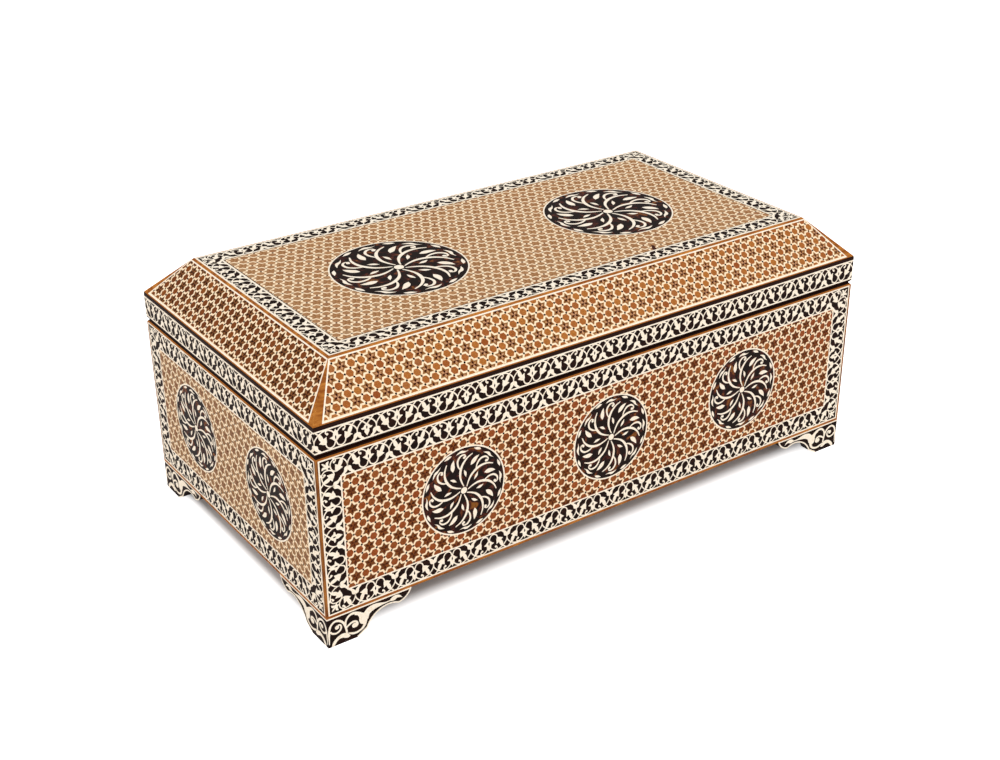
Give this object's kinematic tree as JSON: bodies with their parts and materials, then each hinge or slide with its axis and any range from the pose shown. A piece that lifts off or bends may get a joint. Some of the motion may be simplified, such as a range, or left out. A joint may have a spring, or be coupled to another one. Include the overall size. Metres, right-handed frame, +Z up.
{
  "type": "marquetry dowry chest",
  "caption": "Low wooden dowry chest with a hinged, slope-sided lid and bracket feet, veneered in star marquetry with scroll borders and round inlaid medallions.",
  "frame": {"origin": "on the floor under the middle of the chest", "axes": "+Z up, +X along the chest, the front with three medallions faces -Y, the hinges are at +Y"},
  "size_m": [0.45, 0.2462, 0.1861],
  "materials": {
    "walnut_carcass": "oiled walnut boards, inside and hidden faces",
    "star_marquetry": "lacquered star marquetry of bone, dark and reddish woods",
    "scroll_border": "lacquered ebony ground with bone scrolls and stringing",
    "tortoiseshell_roundel": "polished dark tortoiseshell disc with bone ornament",
    "plum_stringing": "lacquered orange-brown hardwood strips",
    "ebony_moulding": "lacquered ebony moulding",
    "ebony_foot": "lacquered ebony bracket foot with bone scrolls",
    "hinge_brass": "aged brass hinge, pins and screws"
  },
  "bodies": {
    "box": {"bottom_board": "walnut_carcass", "front_board": "walnut_carcass", "back_board": "walnut_carcass", "left_end_board": "walnut_carcass", "right_end_board": "walnut_carcass", "body_rim": "plum_stringing", "base_strips": "plum_stringing", "corner_posts": "plum_stringing", "front_border": "scroll_border", "front_star_panel": "star_marquetry", "front_roundels": "tortoiseshell_roundel", "back_border": "scroll_border", "back_star_panel": "star_marquetry", "back_roundels": "tortoiseshell_roundel", "left_border": "scroll_border", "left_star_panel": "star_marquetry", "left_roundels": "tortoiseshell_roundel", "right_border": "scroll_border", "right_star_panel": "star_marquetry", "right_roundels": "tortoiseshell_roundel", "foot_front_left": "ebony_foot", "foot_front_right": "ebony_foot", "foot_back_right": "ebony_foot", "foot_back_left": "ebony_foot", "foot_glue_blocks": "walnut_carcass", "hinge_body_leaves": "hinge_brass", "hinge_pins": "hinge_brass", "hinge_body_screws": "hinge_brass"},
    "lid": {"lid_rim": "ebony_moulding", "lid_rail_front": "walnut_carcass", "lid_slope_front": "walnut_carcass", "lid_skirt_border_front": "scroll_border", "lid_eave_front": "ebony_moulding", "lid_slope_panel_front": "star_marquetry", "lid_rail_back": "walnut_carcass", "lid_slope_back": "walnut_carcass", "lid_skirt_border_back": "scroll_border", "lid_eave_back": "ebony_moulding", "lid_slope_panel_back": "star_marquetry", "lid_rail_left": "walnut_carcass", "lid_slope_left": "walnut_carcass", "lid_skirt_border_left": "scroll_border", "lid_eave_left": "ebony_moulding", "lid_slope_panel_left": "star_marquetry", "lid_rail_right": "walnut_carcass", "lid_slope_right": "walnut_carcass", "lid_skirt_border_right": "scroll_border", "lid_eave_right": "ebony_moulding", "lid_slope_panel_right": "star_marquetry", "lid_top_board": "walnut_carcass", "lid_hip_strips": "plum_stringing", "lid_ridge_strips": "plum_stringing", "lid_top_border": "scroll_border", "lid_top_star_panel": "star_marquetry", "lid_top_roundels": "tortoiseshell_roundel", "hinge_lid_leaves": "hinge_brass", "hinge_lid_screws": "hinge_brass"}
  },
  "joints": [
    {"name": "lid_hinge", "type": "hinge", "parent": "box", "child": "lid", "pos_m": [0, 0.12155, 0.13745], "axis": [-1, 0, 0], "range_deg": [0, 93]}
  ]
}
